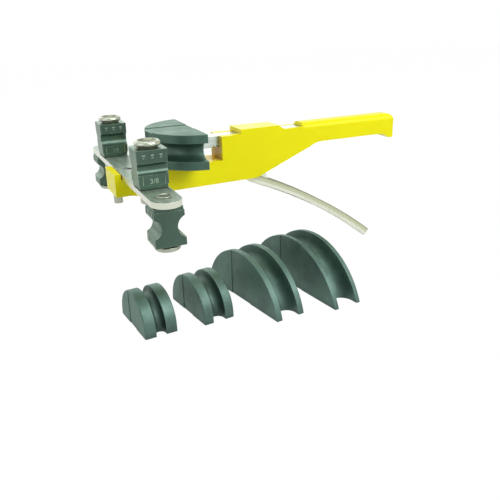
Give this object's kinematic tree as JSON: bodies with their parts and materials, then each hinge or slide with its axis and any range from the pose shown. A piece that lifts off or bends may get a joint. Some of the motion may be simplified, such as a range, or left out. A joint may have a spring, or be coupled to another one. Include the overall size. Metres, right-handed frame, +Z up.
{
  "type": "ratchet pipe bender",
  "caption": "Hand bender for small tubes: a ratchet lever drives a grooved half-round former between grooved back-up blocks on a cross bar, with spare formers.",
  "frame": {"origin": "middle of the hand grip", "axes": "+X from the head to the end of the grip, +Y to the far side in the picture, +Z up"},
  "size_m": [0.3154, 0.247, 0.1806],
  "materials": {
    "yellow_paint": "smooth bright yellow enamel on a casting",
    "bar_steel": "satin grey plated steel",
    "bright_steel": "bright chrome plating",
    "zinc": "pale zinc plated sheet steel",
    "rod_steel": "silvery zinc plated square bar",
    "former_alloy": "dark grey-green satin coating on cast alloy",
    "block_alloy": "dark grey-green satin coating on cast alloy",
    "pawl_steel": "dark hardened steel",
    "small_steel": "plain steel"
  },
  "bodies": {
    "frame": {"cast_frame": "yellow_paint", "cross_bar": "bar_steel", "bar_screw": "small_steel", "plunger_bush": "small_steel", "bar_plunger_spring": "small_steel", "lever_pivot_pin": "small_steel", "lever_return_spring": "small_steel", "holding_pawl_pin": "small_steel", "holding_pawl_spring": "small_steel", "near_upper_pin": "bright_steel", "near_upper_washer": "small_steel", "near_lower_pin": "bright_steel", "near_lower_washer": "small_steel", "far_upper_pin": "bright_steel", "far_upper_washer": "small_steel", "far_lower_pin": "bright_steel", "far_lower_washer": "small_steel", "near_upper_nut": "bright_steel", "far_upper_nut": "bright_steel"},
    "plunger": {"bar_plunger": "bright_steel"},
    "rod": {"ratchet_rod": "rod_steel", "detent_ball": "bright_steel", "detent_spring": "small_steel"},
    "mounted_former": {"former_five_eighths": "former_alloy"},
    "lever": {"hand_lever": "zinc", "drive_pawl_pin": "small_steel", "drive_pawl_spring": "small_steel"},
    "drive_pawl": {"drive_pawl": "pawl_steel"},
    "holding_pawl": {"holding_pawl": "pawl_steel"},
    "near_upper_block": {"near_upper_block": "block_alloy"},
    "near_lower_block": {"near_lower_block": "block_alloy"},
    "far_upper_block": {"far_upper_block": "block_alloy"},
    "far_lower_block": {"far_lower_block": "block_alloy"},
    "loose_three_eighths": {"former_three_eighths": "former_alloy"},
    "loose_half": {"former_half": "former_alloy"},
    "loose_three_quarter": {"former_three_quarter": "former_alloy"},
    "loose_seven_eighths": {"former_seven_eighths": "former_alloy"}
  },
  "joints": [
    {"name": "lever_squeeze", "type": "hinge", "parent": "frame", "child": "lever", "pos_m": [-0.126, 0, -0.0283], "axis": [0, -1, 0], "range_deg": [0, 30], "stiffness_Nm_per_rad": 0.3, "springref_deg": -20.05},
    {"name": "rod_slide", "type": "slide", "parent": "frame", "child": "rod", "axis": [-1, 0, 0], "range_m": [-0.024, 0.088]},
    {"name": "former_pull_off", "type": "slide", "parent": "rod", "child": "mounted_former", "axis": [-1, 0, 0], "range_m": [0, 0.026]},
    {"name": "drive_pawl_swing", "type": "hinge", "parent": "lever", "child": "drive_pawl", "pos_m": [-0.116, 0, -0.0124], "axis": [0, 1, 0], "range_deg": [-12, 6], "stiffness_Nm_per_rad": 0.01},
    {"name": "holding_pawl_swing", "type": "hinge", "parent": "frame", "child": "holding_pawl", "pos_m": [-0.092, 0, -0.0124], "axis": [0, 1, 0], "range_deg": [-12, 6], "stiffness_Nm_per_rad": 0.01},
    {"name": "bar_plunger_pull", "type": "slide", "parent": "frame", "child": "plunger", "axis": [0, 0, -1], "range_m": [0, 0.004], "stiffness_N_per_m": 600, "springref_m": -0.004, "deforming": ["bar_plunger_spring"]},
    {"name": "near_upper_block_turn", "type": "hinge", "parent": "frame", "child": "near_upper_block", "pos_m": [-0.236, -0.0691, 0.0017], "axis": [0, 0, 1], "continuous": true},
    {"name": "near_lower_block_turn", "type": "hinge", "parent": "frame", "child": "near_lower_block", "pos_m": [-0.236, -0.1054, -0.0393], "axis": [0, 0, 1], "continuous": true},
    {"name": "far_upper_block_turn", "type": "hinge", "parent": "frame", "child": "far_upper_block", "pos_m": [-0.236, 0.0691, 0.0017], "axis": [0, 0, 1], "continuous": true},
    {"name": "far_lower_block_turn", "type": "hinge", "parent": "frame", "child": "far_lower_block", "pos_m": [-0.236, 0.1054, -0.0393], "axis": [0, 0, 1], "continuous": true},
    {"name": "loose_three_eighths_lift", "type": "slide", "parent": "frame", "child": "loose_three_eighths", "axis": [0, 0, 1], "range_m": [0, 0.02]},
    {"name": "loose_half_lift", "type": "slide", "parent": "frame", "child": "loose_half", "axis": [0, 0, 1], "range_m": [0, 0.02]},
    {"name": "loose_three_quarter_lift", "type": "slide", "parent": "frame", "child": "loose_three_quarter", "axis": [0, 0, 1], "range_m": [0, 0.02]},
    {"name": "loose_seven_eighths_lift", "type": "slide", "parent": "frame", "child": "loose_seven_eighths", "axis": [0, 0, 1], "range_m": [0, 0.02]}
  ]
}
